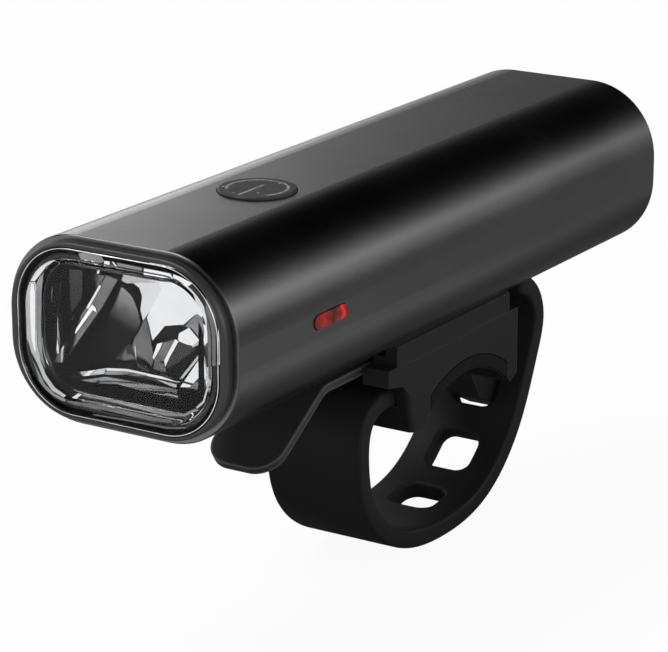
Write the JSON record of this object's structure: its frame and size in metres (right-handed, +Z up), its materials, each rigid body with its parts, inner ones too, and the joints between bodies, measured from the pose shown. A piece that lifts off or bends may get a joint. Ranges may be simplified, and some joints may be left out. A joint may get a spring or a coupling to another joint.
{
  "type": "bicycle headlight",
  "caption": "Rectangular battery headlight for a bicycle, on a quick-release handlebar bracket with a perforated rubber strap.",
  "frame": {"origin": "on the axis of the handlebar that the saddle sits on, in the middle of the bracket's width", "axes": "+X along the handlebar to the side with the red window, -Y the way the light shines, +Z up"},
  "size_m": [0.0346, 0.111, 0.0584],
  "materials": {
    "housing": "satin dark grey anodised",
    "bezel": "satin",
    "lens": "clear",
    "seal": "matte",
    "reflector": "mirror",
    "light_guide": "clear",
    "led": "gloss",
    "led_board": "satin",
    "heat_sink": "bead-blasted",
    "cell": "heat-shrink film",
    "contact": "nickel",
    "frame": "moulded",
    "circuit": "solder mask",
    "switch": "moulded",
    "button": "satin silicone",
    "side_lens": "translucent red",
    "flex": "film",
    "rear_cap": "fine texture",
    "screw": "black oxide",
    "cover": "matte",
    "shoe": "fine texture",
    "bracket": "fine texture",
    "pad": "matte",
    "strap": "matte silicone",
    "lever": "fine texture",
    "pin": "ground"
  },
  "bodies": {
    "bracket": {"bracket": "bracket", "saddle_pad": "pad", "strap": "strap", "strap_pin": "pin", "lever_pin": "pin"},
    "light": {"housing": "housing", "bezel": "bezel", "front_lens": "lens", "lens_seal": "seal", "reflector": "reflector", "light_guide": "light_guide", "led_emitter": "led", "led_board": "led_board", "heat_sink": "heat_sink", "battery_cell": "cell", "cell_tabs": "contact", "inner_frame": "frame", "control_board": "circuit", "tact_switch": "switch", "side_lens": "side_lens", "side_led": "led", "link_flex": "flex", "charge_board": "circuit", "usb_socket": "contact", "rear_cap": "rear_cap", "cap_seal": "seal", "cap_screws": "screw", "rail_shoe": "shoe", "shoe_screws": "screw"},
    "power_button": {"power_button": "button"},
    "usb_cover": {"usb_cover": "cover"},
    "release_lever": {"release_lever": "lever"}
  },
  "joints": [
    {"name": "light_slide", "type": "slide", "parent": "bracket", "child": "light", "axis": [0, -1, 0], "range_m": [0, 0.016]},
    {"name": "lever_press", "type": "hinge", "parent": "bracket", "child": "release_lever", "pos_m": [0, -0.006, 0.0215], "axis": [1, 0, 0], "range_deg": [0, 10]},
    {"name": "button_press", "type": "slide", "parent": "light", "child": "power_button", "axis": [0, 0, -1], "range_m": [0, 0.0004], "stiffness_N_per_m": 3000},
    {"name": "cover_open", "type": "hinge", "parent": "light", "child": "usb_cover", "pos_m": [0, 0.0413, 0.03585], "axis": [-1, 0, 0], "range_deg": [0, 90], "stiffness_Nm_per_rad": 0.001}
  ],
  "couplings": [
    {"joint": "lever_press", "follows": "light_slide", "rad_per_m": 10.9}
  ]
}
